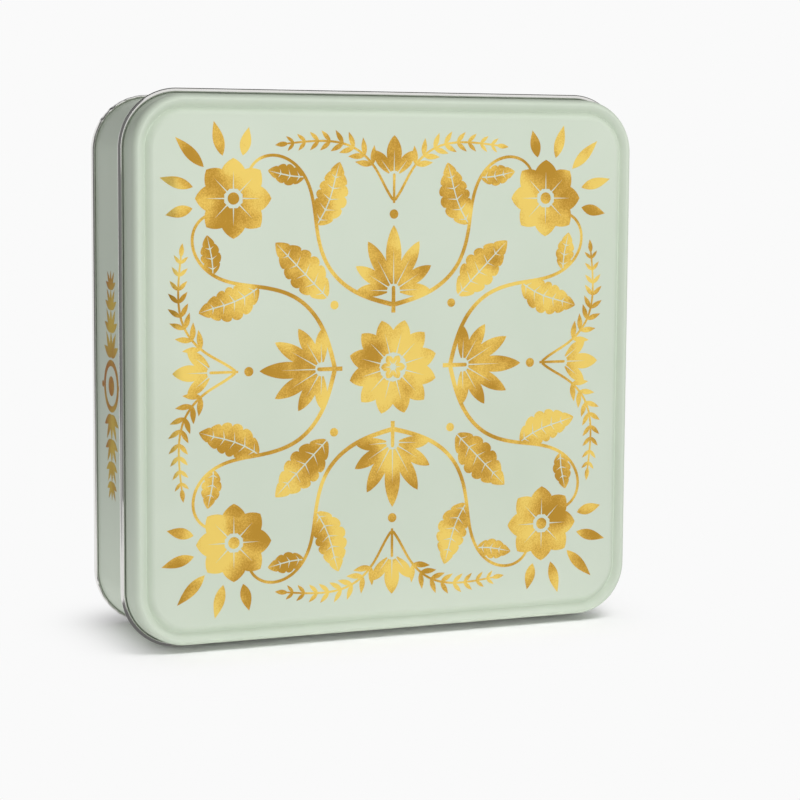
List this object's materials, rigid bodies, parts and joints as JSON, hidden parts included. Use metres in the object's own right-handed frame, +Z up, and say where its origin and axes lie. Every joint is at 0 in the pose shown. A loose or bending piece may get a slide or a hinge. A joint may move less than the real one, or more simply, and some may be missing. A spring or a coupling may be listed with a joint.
{
  "type": "stationery tin",
  "caption": "Square tinplate keepsake tin with round corners, a pull-off slip lid with a rolled edge, and a double-seamed bottom.",
  "frame": {"origin": "middle of the bounding box's lowest face, on the surface that the tin stands on", "axes": "the tin stands on one side: +X across the lid, +Z up the lid, +Y from the lid's panel back to the bottom plate"},
  "size_m": [0.176, 0.047, 0.176],
  "materials": {
    "printed_tinplate": "satin",
    "bare_tinplate": "satin",
    "gold_foil": "satin"
  },
  "bodies": {
    "tin": {"body_wall": "printed_tinplate", "bottom_plate": "bare_tinplate"},
    "lid": {"lid": "printed_tinplate"}
  },
  "joints": [
    {"name": "lid_slide", "type": "slide", "parent": "tin", "child": "lid", "axis": [0, -1, 0], "range_m": [0, 0.06]}
  ]
}
